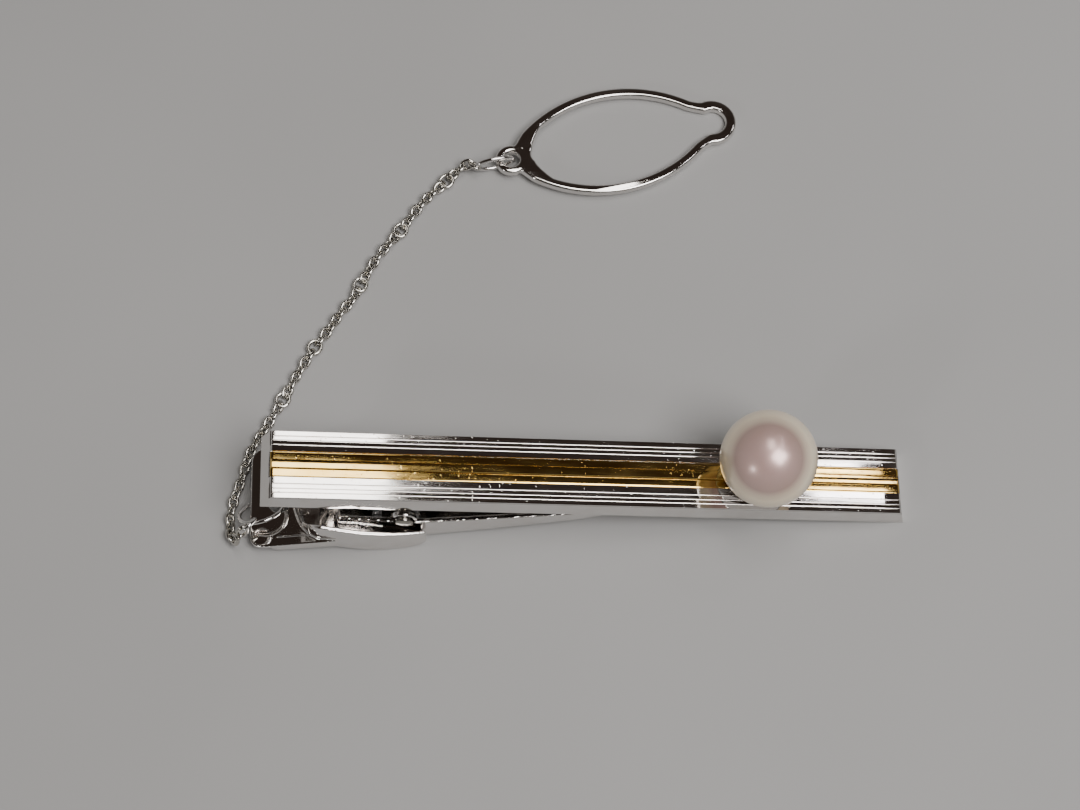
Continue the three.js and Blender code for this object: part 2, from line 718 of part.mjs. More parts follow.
// Turns a ring so that its two in-plane directions are first and third.
function turnRing(mesh, first, third) {
  const normal = third.clone().cross(first);
  mesh.quaternion.setFromRotationMatrix(new THREE.Matrix4().makeBasis(first, normal, third));
  return mesh;
}

function placeTailRing(mesh) {
  const { along, across, centre } = tailRingFrame();
  mesh.position.copy(centre);
  return turnRing(mesh, along, across);
}

// The connector is looped through the tail ring and pulled over towards the chain.
function placeConnector(mesh) {
  const { along, across, centre } = tailRingFrame();
  const outward = along.clone().multiplyScalar(Math.cos(CONNECTOR_AT));
  outward.addScaledVector(across, Math.sin(CONNECTOR_AT));
  mesh.position.copy(centre);
  mesh.position.addScaledVector(outward, TAIL_RING_RADIUS + CONNECTOR_OVERLAP);
  const drop = new THREE.Vector3(...Object.values(CONNECTOR_DROP));
  const beside = drop.addScaledVector(outward, -drop.dot(outward)).normalize();
  return turnRing(mesh, outward, beside);
}

function chain() {
  const points = CHAIN_ROUTE.map(([x, y, z]) => new THREE.Vector3(x, y, z));
  const curve = new THREE.CatmullRomCurve3(points, false, 'centripetal');
  return wireAlong(curve, CHAIN_RADIUS, CHAIN_SIDES, CHAIN_STEPS);
}

// Places a piece drawn in the button loop's own frame.
function inLoopFrame(mesh) {
  const group = new THREE.Group();
  group.position.set(LOOP_EYE.x, LOOP_EYE.y, LOOP_LENGTH_TO_END * Math.sin(LOOP_TILT));
  group.rotation.set(0, LOOP_TILT, LOOP_ANGLE, 'ZYX');
  group.add(mesh);
  return group;
}

function placeEndRing(mesh) {
  mesh.position.set(END_RING_CENTRE.u, 0, END_RING_CENTRE.w);
  return mesh;
}

// The two bowed sides, drawn at a distance inside the outer edge.
function bowHeightAt(u, inset) {
  const radius = BOW_RADIUS - inset;
  const away = u - BOW_CENTRE_U;
  return BOW_HALF_HEIGHT - BOW_RADIUS + Math.sqrt(radius ** 2 - away ** 2);
}

function bowPoints(from, to, inset, steps) {
  const points = [];
  for (let i = 0; i <= steps; i += 1) {
    const u = from + ((to - from) * i) / steps;
    points.push([u, bowHeightAt(u, inset)]);
  }
  return points;
}

function arcPoints(centreU, radius, fromAngle, toAngle, steps) {
  const points = [];
  for (let i = 0; i <= steps; i += 1) {
    const angle = fromAngle + ((toAngle - fromAngle) * i) / steps;
    points.push([centreU + radius * Math.cos(angle), radius * Math.sin(angle)]);
  }
  return points;
}

function mirroredLoop(points) {
  const below = points.map(([u, v]) => [u, -v]).reverse();
  return [...points, ...below.filter(([, v]) => v !== 0)];
}

function buttonLoop() {
  const neckU = 17.95;
  const outerPoints = mirroredLoop([
    ...arcPoints(0, EYE_RADIUS, Math.PI, Math.PI * 0.32, 10),
    ...bowPoints(1.3, neckU, 0, 20),
    ...arcPoints(KEYHOLE_U, KEYHOLE_RADIUS, Math.PI * 0.6, 0, 12),
  ]);
  const innerNeckU = 17.35;
  const innerPoints = mirroredLoop([
    [BOW_INNER_TIP_U, 0],
    [BOW_INNER_TIP_U + 0.12, 0.75],
    [BOW_INNER_TIP_U + 0.5, 1.6],
    ...bowPoints(3.2, innerNeckU, BAND_WIDTH, 18),
    ...arcPoints(KEYHOLE_U, KEYHOLE_INNER_RADIUS, Math.PI * 0.6, 0, 10),
  ]);
  const outer = upright(outline(outerPoints), 0, LOOP_THICKNESS);
  const inner = upright(outline(innerPoints), -1, LOOP_THICKNESS + 1);
  const hole = new THREE.CylinderGeometry(EYE_HOLE_RADIUS, EYE_HOLE_RADIUS, 4, PIN_SEGMENTS);
  hole.rotateX(Math.PI / 2);
  return outer.subtract(inner).subtract(asSolid(hole));
}

// ---------- assembly ----------

const tieBar = new THREE.Group();

const barGroup = new THREE.Group();
barGroup.position.set(BAR_FACE_START_X, 0, barLift());
barGroup.rotation.y = BAR_PITCH;
barGroup.add(node('front_bar', asGeometry(frontBar()), SILVER));
barGroup.add(node('gold_band', asGeometry(goldBand()), GOLD));
barGroup.add(node('pearl', asGeometry(pearl()), NACRE));
barGroup.add(node('pearl_cup', pearlCup(), SILVER));
barGroup.add(node('pearl_peg', pearlPeg(), DARK_SILVER));
barGroup.add(node('hinge_bracket', asGeometry(hingeBracket()), DARK_SILVER));
tieBar.add(barGroup);

tieBar.add(node('thumb_lever', asGeometry(thumbLever()), SILVER));
tieBar.add(node('jaw_arm', asGeometry(jawArm()), SILVER));
tieBar.add(node('hinge_pin', hingePin(), DARK_SILVER));
tieBar.add(node('torsion_spring', torsionSpring(), SPRING_STEEL));

const tailRing = ovalRing(TAIL_RING_RADIUS, TAIL_RING_RADIUS, TAIL_RING_WIRE);
tieBar.add(placeTailRing(node('tail_ring', tailRing, SILVER)));
const connector = ovalRing(CONNECTOR_RADIUS, CONNECTOR_RADIUS, CONNECTOR_WIRE);
tieBar.add(placeConnector(node('connector_ring', connector, SILVER)));
tieBar.add(node('safety_chain', chain(), SILVER));
const endRing = ovalRing(END_RING_HALF_LENGTH, END_RING_HALF_HEIGHT, END_RING_WIRE);
tieBar.add(inLoopFrame(placeEndRing(node('end_ring', endRing, SILVER))));
tieBar.add(inLoopFrame(node('button_loop', asGeometry(buttonLoop()), SILVER)));

export default tieBar;
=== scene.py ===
"""A pearl tie bar with a sprung clip, a safety chain and a flat button loop, lying on a table.

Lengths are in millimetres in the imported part's frame, and the helpers turn them into metres.
"""

import math

import bmesh
import bpy
import numpy as np
from mathutils import Matrix, Vector


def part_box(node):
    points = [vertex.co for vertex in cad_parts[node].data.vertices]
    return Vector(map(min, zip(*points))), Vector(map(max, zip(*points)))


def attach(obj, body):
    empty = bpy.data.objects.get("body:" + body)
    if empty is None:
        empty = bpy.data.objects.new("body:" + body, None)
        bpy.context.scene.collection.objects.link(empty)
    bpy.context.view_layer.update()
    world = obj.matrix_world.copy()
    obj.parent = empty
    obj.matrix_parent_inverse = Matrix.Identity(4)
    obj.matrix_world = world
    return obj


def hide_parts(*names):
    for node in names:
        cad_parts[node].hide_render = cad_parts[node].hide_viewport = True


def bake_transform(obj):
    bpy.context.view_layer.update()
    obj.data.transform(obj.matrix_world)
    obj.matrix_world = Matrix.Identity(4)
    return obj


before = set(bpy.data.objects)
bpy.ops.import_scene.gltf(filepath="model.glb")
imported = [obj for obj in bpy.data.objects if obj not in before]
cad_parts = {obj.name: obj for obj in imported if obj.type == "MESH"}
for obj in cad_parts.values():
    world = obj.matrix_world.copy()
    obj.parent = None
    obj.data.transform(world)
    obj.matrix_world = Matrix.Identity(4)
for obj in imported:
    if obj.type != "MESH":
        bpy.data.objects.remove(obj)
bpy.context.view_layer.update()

MM = 0.001

# ---------- driving dimensions ----------

BAR_FACE_LENGTH = 54.2
BAR_FACE_START_X = -26.0
BAR_RIM_OVERHANG = 0.75
BAR_PITCH = math.radians(8.29)
BAR_RIM_HALF_WIDTH = 3.1
BAR_FACE_HALF_WIDTH = 3.0
BAR_WALL = 0.4
FACE_HEIGHT = 2.05
FACE_CROWN = 0.25
CEILING_HEIGHT = 1.35

GOLD_HALF_WIDTH = 1.1
GOLD_THICKNESS = 0.35
GOLD_RIB_HALF_WIDTH = 0.42
GOLD_RIB_HEIGHT = 0.27
# Rise of the raised rib from its edge (1) to its middle (0), as shares of its half width and height.
GOLD_RIB_PROFILE = [(0.97, 0.4), (0.9, 0.82), (0.82, 0.94), (0.6, 0.97), (0.3, 0.99), (0.0, 1.0)]

PEARL_RADIUS = 4.13
PEARL_S = 41.5
PEARL_CENTRE_HEIGHT = 6.68
GLUE_GAP = 0.03
CUP_RIM_DEPTH = 2.85
CUP_THICKNESS = 0.2
CUP_SEAT_RADIUS = 1.5
CUP_ROLL_RADIUS = CUP_THICKNESS / 2 * 1.25
CUP_ROLL_STEPS = 8
CUP_CLEARANCE = 0.04  # between the gold's rib and the cup's foot

PAD_START_X = -28.4
PAD_TOP_START = 1.3
PAD_TOP_SLOPE = (2.65 - 1.3) / (28.4 - 20.8)
PAD_BEAD_Y = 3.75
PAD_BEAD_START_X = -25.9
PAD_BEAD_END_X = -21.9
PAD_BEAD_RADIUS = 0.09

PIN_RADIUS = 0.58
PIN_HEAD_RADIUS = 0.8
PIN_HEAD_THICKNESS = 0.28
PIN_HALF_LENGTH = 3.85

SPRING_WIRE_RADIUS = 0.17
SPRING_COIL_RADIUS = 0.95
SPRING_TURNS = 4
SPRING_HALF_LENGTH = 0.95
SPRING_UPPER_END = (-19.0, 7.55)
SPRING_LOWER_END = (-19.6, 2.2)
SPRING_UPPER_BOW = 0.25
SPRING_LOWER_BOW = -0.1
SPRING_FIRST_ANGLE = math.pi * 0.66
SPRING_LAST_ANGLE = -2 * math.pi * SPRING_TURNS - math.pi * 0.6
SPRING_STEPS = 110

TAIL_RING_WIRE = 0.18
CONNECTOR_WIRE = 0.16
END_RING_WIRE = 0.2

LOOP_EYE = (-5.15, 32.57)
LOOP_ANGLE = math.radians(11.5)
LOOP_TILT = math.radians(1.75)
LOOP_THICKNESS = 0.8
LOOP_LENGTH_TO_END = 21.45
EYE_RADIUS = 1.45
EYE_HOLE_RADIUS = 0.78
BOW_CENTRE_U = 9.7
BOW_HALF_HEIGHT = 5.35
BOW_RADIUS = 12.9
BAND_WIDTH = 0.85
KEYHOLE_U = 19.2
KEYHOLE_RADIUS = 2.25
KEYHOLE_INNER_RADIUS = 1.25

# Route of the chain's middle line, from the connector ring to the end ring.
CHAIN_ROUTE = [
    (-28.82, -3.31, 2.57),
    (-29.15, -3.65, 1.95),
    (-29.5, -3.8, 1.4),
    (-29.95, -3.45, 0.85),
    (-30.15, -2.6, 0.6),
    (-30.2, -1.4, 0.5),
    (-29.9, 0.3, 0.5),
    (-29.3, 2.1, 0.5),
    (-28.7, 4.3, 0.5),
    (-27.4, 6.7, 0.5),
    (-26.2, 8.8, 0.5),
    (-24.9, 11.3, 0.5),
    (-23.2, 14.3, 0.5),
    (-21.9, 16.1, 0.5),
    (-20.7, 17.9, 0.5),
    (-19.7, 19.2, 0.5),
    (-19.0, 20.6, 0.5),
    (-17.9, 22.6, 0.5),
    (-16.7, 24.3, 0.5),
    (-15.4, 25.9, 0.5),
    (-14.25, 27.5, 0.5),
    (-13.0, 29.1, 0.5),
    (-11.5, 30.5, 0.55),
    (-10.1, 31.75, 0.8),
    (-9.0, 32.3, 1.1),
    (-8.37, 31.92, 1.22),
]

# ---------- camera ----------

CAMERA_TARGET = (-3.02, 8.65, 0.0)
CAMERA_AZIMUTH = math.radians(-1.324)
CAMERA_ELEVATION = math.radians(68.5)
CAMERA_DISTANCE = 200.0
CAMERA_LENS = 74.91


def make_camera():
    data = bpy.data.cameras.new("camera")
    data.sensor_width = 36
    data.lens = CAMERA_LENS
    data.clip_start = 0.01
    data.clip_end = 20
    camera = bpy.data.objects.new("camera", data)
    bpy.context.scene.collection.objects.link(camera)
    back = Vector((
        math.sin(CAMERA_AZIMUTH) * math.cos(CAMERA_ELEVATION),
        -math.cos(CAMERA_AZIMUTH) * math.cos(CAMERA_ELEVATION),
        math.sin(CAMERA_ELEVATION),
    ))
    camera.location = (Vector(CAMERA_TARGET) + back * CAMERA_DISTANCE) * MM
    camera.rotation_mode = "QUATERNION"
    camera.rotation_quaternion = (-back).to_track_quat("-Z", "Y")
    bpy.context.scene.camera = camera


make_camera()

# ---------- materials ----------


def new_material(name):
    material = bpy.data.materials.new(name)
    material.use_nodes = True
    nodes = material.node_tree.nodes
    return material, nodes, material.node_tree.links, nodes["Principled BSDF"]


def coordinates(nodes, links, stretch):
    source = nodes.new("ShaderNodeTexCoord")
    mapping = nodes.new("ShaderNodeMapping")
    mapping.inputs["Scale"].default_value = stretch
    links.new(source.outputs["Object"], mapping.inputs["Vector"])
    return mapping.outputs["Vector"]


def noise(nodes, links, vector, scale, detail=4.0, roughness=0.55):
    texture = nodes.new("ShaderNodeTexNoise")
    texture.inputs["Scale"].default_value = scale
    texture.inputs["Detail"].default_value = detail
    texture.inputs["Roughness"].default_value = roughness
    links.new(vector, texture.inputs["Vector"])
    return texture.outputs["Fac"]


def ramp(nodes, links, value, stops):
    element = nodes.new("ShaderNodeValToRGB")
    while len(element.color_ramp.elements) < len(stops):
        element.color_ramp.elements.new(0.5)
    for target, (place, colour) in zip(element.color_ramp.elements, stops):
        target.position = place
        target.color = (*colour, 1.0)
    links.new(value, element.inputs["Fac"])
    return element.outputs["Color"]


def bump(nodes, links, height, distance, strength, normal=None):
    element = nodes.new("ShaderNodeBump")
    element.inputs["Distance"].default_value = distance * MM
    element.inputs["Strength"].default_value = strength
    links.new(height, element.inputs["Height"])
    if normal is not None:
        links.new(normal, element.inputs["Normal"])
    return element.outputs["Normal"]


def grey(level):
    return (level, level, level)


def polished_metal(name, dark, light, rough, scratch=0.06, stretch=(40, 900, 900), ding=0.12):
    """Mirror-polished metal with drawn scratches, faint smears and small handling marks."""
    material, nodes, links, shader = new_material(name)
    shader.inputs["Metallic"].default_value = 1.0
    along = coordinates(nodes, links, stretch)
    even = coordinates(nodes, links, (1000, 1000, 1000))
    smear = noise(nodes, links, even, 0.6, 3)
    links.new(ramp(nodes, links, smear, [(0.3, dark), (0.7, light)]), shader.inputs["Base Color"])
    streak = noise(nodes, links, along, 1.6, 6, 0.65)
    low, high = rough
    finish = ramp(nodes, links, streak, [(0.35, grey(low)), (0.62, grey(high))])
    links.new(finish, shader.inputs["Roughness"])
    marks = noise(nodes, links, even, 3.5, 1, 0.5)
    dents = ramp(nodes, links, marks, [(0.24, grey(0.0)), (0.31, grey(1.0))])
    first = bump(nodes, links, streak, 0.01, scratch)
    links.new(bump(nodes, links, dents, 0.02, ding, first), shader.inputs["Normal"])
    return material


def nacre():
    """Pearl: soft mirror-like lustre over a warm base whose colour is painted reflection, pale cream at
    the rim and darker mauve towards the middle as the view turns, with faint growth bands.
    """
    material, nodes, links, shader = new_material("pearl_nacre")
    even = coordinates(nodes, links, (1000, 1000, 1000))
    banded = coordinates(nodes, links, (300, 300, 1500))
    cloud = noise(nodes, links, even, 0.35, 3)
    facing = nodes.new("ShaderNodeLayerWeight")
    facing.inputs["Blend"].default_value = 0.5
    # Painted reflection: by view angle, the base colour goes from darker mauve in the middle (painted
    # reflection of the dark ceiling) to pale cream at the rim (painted reflection of the pale table).
    painted_reflection = ramp(nodes, links, facing.outputs["Facing"], [
        (0.0, (0.70, 0.51, 0.48)),
        (0.27, (0.52, 0.385, 0.345)),
        (0.37, (0.76, 0.66, 0.53)),
        (0.52, (1.0, 0.91, 0.70)),
    ])
    tint = ramp(nodes, links, cloud, [(0.3, (0.96, 0.93, 0.90)), (0.7, (1.0, 1.0, 1.0))])
    mix = nodes.new("ShaderNodeMix")
    mix.data_type = "RGBA"
    mix.blend_type = "MULTIPLY"
    mix.inputs["Factor"].default_value = 1.0
    links.new(painted_reflection, mix.inputs[6])
    links.new(tint, mix.inputs[7])
    links.new(mix.outputs[2], shader.inputs["Base Color"])
    shader.inputs["Roughness"].default_value = 0.3
    shader.inputs["Metallic"].default_value = 0.35
    shader.inputs["IOR"].default_value = 1.68
    shader.inputs["Subsurface Weight"].default_value = 0.2
    shader.inputs["Subsurface Radius"].default_value = (1.0, 0.75, 0.6)
    shader.inputs["Subsurface Scale"].default_value = 0.8 * MM
    shader.inputs["Coat Weight"].default_value = 0.5
    shader.inputs["Coat Roughness"].default_value = 0.16
    shader.inputs["Coat Tint"].default_value = (1.0, 0.93, 0.93, 1.0)
    shader.inputs["Sheen Weight"].default_value = 0.08
    ripple = noise(nodes, links, banded, 0.8, 3)
    links.new(bump(nodes, links, ripple, 0.01, 0.12), shader.inputs["Normal"])
    return material


def table_top():
    material, nodes, links, shader = new_material("table_top")
    even = coordinates(nodes, links, (1000, 1000, 1000))
    tone = noise(nodes, links, even, 0.02, 2)
    links.new(
        ramp(nodes, links, tone, [(0.3, (0.40, 0.40, 0.395)), (0.7, (0.43, 0.43, 0.425))]),
        shader.inputs["Base Color"],
    )
    shader.inputs["Roughness"].default_value = 0.9
    return material


SILVER = polished_metal("polished_silver", (0.74, 0.71, 0.68), (0.80, 0.78, 0.76), (0.03, 0.09))
CHAIN_SILVER = polished_metal(
    "chain_silver", (0.50, 0.48, 0.43), (0.66, 0.64, 0.60), (0.03, 0.08), 0.06, (900, 900, 900), 0.12)
GOLD = polished_metal("polished_gold", (0.68, 0.44, 0.12), (0.80, 0.57, 0.20), (0.04, 0.11))
SPRING_STEEL = polished_metal(
    "spring_steel", (0.45, 0.45, 0.46), (0.56, 0.56, 0.57), (0.16, 0.3), 0.15, (900, 900, 900))
INSIDE_SILVER = polished_metal(
    "inside_silver", (0.30, 0.28, 0.25), (0.40, 0.38, 0.34), (0.12, 0.22), 0.1)
NACRE = nacre()

# ---------- mesh helpers ----------

SHARP_ANGLE = math.radians(38)


def finish_mesh(mesh, sharp=SHARP_ANGLE):
    """Outward faces, smooth shading, and sharp edges where the faces meet steeply."""
    work = bmesh.new()
    work.from_mesh(mesh)
    bmesh.ops.remove_doubles(work, verts=work.verts, dist=1e-8)
    bmesh.ops.recalc_face_normals(work, faces=work.faces)
    for face in work.faces:
        face.smooth = True
    for edge in work.edges:
        edge.smooth = len(edge.link_faces) == 2 and edge.calc_face_angle(0.0) < sharp
    work.to_mesh(mesh)
    work.free()
    mesh.update()


def piece(name, points, faces, material, body, nodes=(), place=None, sharp=SHARP_ANGLE):
    """A new mesh piece from points in millimetres, which stands for the named CAD nodes."""
    place = place or Matrix.Identity(4)
    mesh = bpy.data.meshes.new(name)
    scaled = [(place @ Vector(point)) * MM for point in points]
    mesh.from_pydata(scaled, [], faces)
    finish_mesh(mesh, sharp)
    mesh.materials.append(material)
    made = bpy.data.objects.new(name, mesh)
    bpy.context.scene.collection.objects.link(made)
    if body is not None:
        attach(made, body)
    if nodes:
        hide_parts(*nodes)
    return made


def soften_edges(made, width, segments=3, angle=40):
    modifier = made.modifiers.new("soft_edges", "BEVEL")
    modifier.width = width * MM
    modifier.segments = segments
    modifier.limit_method = "ANGLE"
    modifier.angle_limit = math.radians(angle)
    modifier.harden_normals = True


def turned(profile, steps):
    """Points and faces of a piece turned about Z from an open profile that starts and ends on the axis."""
    points = []
    rings = []
    for radius, height in profile:
        if radius < 1e-9:
            rings.append([len(points)])
            points.append((0, 0, height))
            continue
        ring = []
        for k in range(steps):
            angle = 2 * math.pi * k / steps
            ring.append(len(points))
            points.append((radius * math.cos(angle), radius * math.sin(angle), height))
        rings.append(ring)
    return points, ring_faces(rings, steps)


def ring_faces(rings, steps, closed=False):
    faces = []
    pairs = list(zip(rings, rings[1:]))
    if closed:
        pairs.append((rings[-1], rings[0]))
    for low, high in pairs:
        for k in range(steps):
            nxt = (k + 1) % steps
            if len(low) == 1:
                faces.append((low[0], high[nxt], high[k]))
            elif len(high) == 1:
                faces.append((low[k], low[nxt], high[0]))
            else:
                faces.append((low[k], low[nxt], high[nxt], high[k]))
    return faces


def tube(route, radius, sides, closed=False, start_normal=None, round_ends=True):
    """A round wire along a list of points, carried without twist. Open ends are domed."""
    route = [Vector(point) for point in route]
    count = len(route)
    tangents = []
    for i in range(count):
        before = route[(i - 1) % count] if closed or i else route[0]
        after = route[(i + 1) % count] if closed or i < count - 1 else route[-1]
        tangents.append((after - before).normalized())
    normal = Vector(start_normal) if start_normal else tangents[0].orthogonal()
    points = []
    rings = []

    def add_ring(centre, tangent, size):
        side = (normal - tangent * normal.dot(tangent)).normalized()
        other = tangent.cross(side)
        ring = []
        for k in range(sides):
            angle = 2 * math.pi * k / sides
            ring.append(len(points))
            points.append(tuple(centre + (side * math.cos(angle) + other * math.sin(angle)) * size))
        rings.append(ring)

    dome = [(0.98, 0.2), (0.8, 0.6), (0.45, 0.89)] if round_ends and not closed else []
    if not closed:
        rings.append([len(points)])
        points.append(tuple(route[0] - tangents[0] * radius * (1 if dome else 0)))
        for out, back in reversed(dome):
            add_ring(route[0] - tangents[0] * radius * back, tangents[0], radius * out)
    for i in range(count):
        normal = (normal - tangents[i] * normal.dot(tangents[i])).normalized()
        add_ring(route[i], tangents[i], radius)
    if not closed:
        for out, back in dome:
            add_ring(route[-1] + tangents[-1] * radius * back, tangents[-1], radius * out)
        rings.append([len(points)])
        points.append(tuple(route[-1] + tangents[-1] * radius * (1 if dome else 0)))
    return points, ring_faces(rings, sides, closed)


def smooth_route(points, per_span):
    """A Catmull-Rom curve through the points."""
    points = [Vector(point) for point in points]
    made = []
    for i in range(len(points) - 1):
        a = points[max(i - 1, 0)]
        b, c = points[i], points[i + 1]
        d = points[min(i + 2, len(points) - 1)]
        for k in range(per_span):
            t = k / per_span
            made.append(0.5 * (
                2 * b + (c - a) * t + (2 * a - 5 * b + 4 * c - d) * t * t
                + (3 * b - a - 3 * c + d) * t ** 3
            ))
    made.append(points[-1])
    return made


def joined(parts):
    """One list of points and faces from several."""
    points, faces = [], []
    for some_points, some_faces in parts:
        start = len(points)
        points.extend(some_points)
        faces.extend(tuple(index + start for index in face) for face in some_faces)
    return points, faces


# ---------- bar ----------

BAR_LIFT = (BAR_FACE_LENGTH + BAR_RIM_OVERHANG) * math.sin(BAR_PITCH)
BAR_PLACE = Matrix.Translation((BAR_FACE_START_X, 0, BAR_LIFT)) @ Matrix.Rotation(BAR_PITCH, 4, "Y")
END_SLOPE = BAR_RIM_OVERHANG / FACE_HEIGHT  # how far the slanted ends lean in for each mm of height
BAR_STATIONS = 40  # cross sections along the straight length
FLAT_BEYOND = 2.1  # the crowned face is level from here to its edges

# Ribs on each side of the gold band: inner edge, outer edge and height of each.
SIDE_RIBS = [(1.1, 1.74, 0.1), (1.74, 2.14, 0.085), (2.14, 2.5, 0.085), (2.5, 3.0, 0.1)]
RIB_SIDE_ANGLE = math.radians(62)
RIB_FOOT = 0.25  # lower share of a rib's side, which slopes at 45 degrees
RIB_NOSE = 0.2  # length over which the ribs round down at the bar's ends
RIB_NOSE_STEPS = (0.0, 0.02, 0.08, 0.2, 0.4, 0.7, 1.0)
FAR_NOSE_SHARE = 0.6  # the nose at the pearl end is this much shorter
END_DROP = 0.1

GROOVE_SIDE_GAP = 0.03
GROOVE_FLOOR_GAP = 0.02
GOLD_NOSE = 0.26
GOLD_RIB_NOSE = 0.13
GOLD_NOSE_STEPS = (0.0, 0.01, 0.03, 0.07, 0.13, 0.19, GOLD_NOSE)
GOLD_FLAT_STEPS = 6
GOLD_END_GAP = 0.02


def face_height(y):
    return FACE_HEIGHT - FACE_CROWN * (min(abs(y), FLAT_BEYOND) / BAR_FACE_HALF_WIDTH) ** 2


def quarter_round(share):
    """Height of a quarter circle, from 0 at its start to 1 at its crown."""
    return math.sqrt(max(0.0, 1 - (1 - min(1.0, share)) ** 2))


def straight_length(nose):
    return [nose + (BAR_FACE_LENGTH - 2 * nose) * k / BAR_STATIONS for k in range(1, BAR_STATIONS)]


def slanted_end(index, count, height, gap=0.0):
    """Place along the bar of a point on its first or last cross section, or None in between."""
    if index == 0:
        return END_SLOPE * height - BAR_RIM_OVERHANG + gap
    if index == count - 1:
        return BAR_FACE_LENGTH + BAR_RIM_OVERHANG - END_SLOPE * height - gap
    return None


def side_rib_points():
    """(y, height over the face) across one half of the face: flat ribs with steep sides."""
    points = []
    for inner, outer, height in reversed(SIDE_RIBS):
        foot = RIB_FOOT * height
        run = foot + (height - foot) / math.tan(RIB_SIDE_ANGLE)
        points += [(outer, 0.0), (outer - foot, foot), (outer - run, height)]
        points += [(inner + run, height), (inner + foot, foot)]
    points.append((SIDE_RIBS[0][0], 0.0))
    return points


def bar_section(fade):
    """Outline of the bar's top, rim to rim. The ribs stand at fade times their full height."""
    drop = END_DROP * (1 - fade)
    groove_edge = GOLD_HALF_WIDTH + GROOVE_SIDE_GAP
    groove_floor = face_height(GOLD_HALF_WIDTH) - GOLD_THICKNESS - GROOVE_FLOOR_GAP
    right = [(BAR_RIM_HALF_WIDTH, 0.0)]
    for y, rise in side_rib_points()[:-1]:
        right.append((y, face_height(y) - drop + rise * fade))
    right += [(groove_edge, face_height(groove_edge) - drop), (groove_edge, groove_floor)]
    return right + [(-y, height) for y, height in reversed(right)]


def bar_tray():
    """The ribbed bar: a tray with slanted ends, open underneath, with a groove for the gold band."""
    near_end = [(share * RIB_NOSE, quarter_round(share)) for share in RIB_NOSE_STEPS]
    far_end = [(BAR_FACE_LENGTH - s * FAR_NOSE_SHARE, fade) for s, fade in reversed(near_end)]
    rows = near_end + [(s, 1.0) for s in straight_length(RIB_NOSE)] + far_end
    points, rings = [], []
    for index, (s, fade) in enumerate(rows):
        ring = []
        for y, height in bar_section(fade):
            along = slanted_end(index, len(rows), height)
            ring.append(len(points))
            points.append((s if along is None else along, y, height))
        rings.append(ring)
    faces = [tuple(rings[0]), tuple(reversed(rings[-1]))]
    for low, high in zip(rings, rings[1:]):
        for k in range(len(low) - 1):
            faces.append((low[k], low[k + 1], high[k + 1], high[k]))

    # the hollow underneath, and the rim around it
    inner = BAR_RIM_HALF_WIDTH - BAR_WALL
    hollow = [
        (BAR_WALL - BAR_RIM_OVERHANG, 0),
        (BAR_WALL, CEILING_HEIGHT),
        (BAR_FACE_LENGTH - BAR_WALL, CEILING_HEIGHT),
        (BAR_FACE_LENGTH + BAR_RIM_OVERHANG - BAR_WALL, 0),
    ]
    first = len(points)
    for s, height in hollow:
        points += [(s, inner, height), (s, -inner, height)]
    a0, a1, b0, b1, c0, c1, d0, d1 = range(first, first + 8)
    faces += [(a0, b0, c0, d0), (a1, d1, c1, b1), (b0, b1, c1, c0), (a0, a1, b1, b0), (c0, c1, d1, d0)]
    near = [ring[0] for ring in rings]
    far = [ring[-1] for ring in rings]
    faces += [(*near, d0, a0), (*reversed(far), a1, d1)]
    faces += [(near[0], a0, a1, far[0]), (near[-1], far[-1], d1, d0)]
    piece("ribbed_bar", points, faces, SILVER, "bar", ["front_bar"], BAR_PLACE)


def gold_section(flat, rib):
    """Outline of the gold band. flat and rib are shares of the flats' and the rib's full height."""
    drop = END_DROP * (1 - flat)
    top_edge = face_height(GOLD_HALF_WIDTH)
    right = [(GOLD_HALF_WIDTH, top_edge - GOLD_THICKNESS), (GOLD_HALF_WIDTH, top_edge - 0.02 - drop)]
    for k in range(1, GOLD_FLAT_STEPS + 1):
        y = GOLD_HALF_WIDTH - (GOLD_HALF_WIDTH - GOLD_RIB_HALF_WIDTH) * k / GOLD_FLAT_STEPS
        right.append((y, face_height(y) - drop))
    for across, rise in GOLD_RIB_PROFILE:
        y = GOLD_RIB_HALF_WIDTH * across
        right.append((y, face_height(y) - drop * across ** 3 + GOLD_RIB_HEIGHT * rise * rib))
    return right + [(-y, height) for y, height in reversed(right[:-1])]


def gold_inlay():
    """The gold band: a flat strip with one raised rib, its ends flush with the bar's slanted ends."""
    near_end = []
    for s in GOLD_NOSE_STEPS:
        near_end.append((s, quarter_round(s / GOLD_NOSE), quarter_round(s / GOLD_RIB_NOSE)))
    middle = [(s, 1.0, 1.0) for s in straight_length(GOLD_NOSE)]
    far_end = [(BAR_FACE_LENGTH - s, flat, rib) for s, flat, rib in reversed(near_end)]
    rows = near_end + middle + far_end
    points, rings = [], []
    for index, (s, flat, rib) in enumerate(rows):
        ring = []
        for y, height in gold_section(flat, rib):
            along = slanted_end(index, len(rows), height, GOLD_END_GAP)
            if along is None:
                first = slanted_end(0, 2, height, GOLD_END_GAP)
                last = slanted_end(1, 2, height, GOLD_END_GAP)
                along = min(max(s, first), last)
            ring.append(len(points))
            points.append((along, y, height))
        rings.append(ring)
    faces = ring_faces(rings, len(rings[0]))
    faces += [tuple(rings[0]), tuple(reversed(rings[-1]))]
    piece("gold_inlay", points, faces, GOLD, "bar", ["gold_band"], BAR_PLACE)


bar_tray()
gold_inlay()

# ---------- pearl ----------


PEARL_PLACE = BAR_PLACE @ Matrix.Translation((PEARL_S, 0, PEARL_CENTRE_HEIGHT))


def pearl_ball():
    rows, steps = 64, 128
    profile = [(0, -PEARL_RADIUS)]
    for k in range(1, rows):
        angle = math.pi * k / rows
        profile.append((PEARL_RADIUS * math.sin(angle), -PEARL_RADIUS * math.cos(angle)))
    profile.append((0, PEARL_RADIUS))
    points, faces = turned(profile, steps)
    piece("pearl_ball", points, faces, NACRE, "bar", ["pearl"], PEARL_PLACE, math.pi)


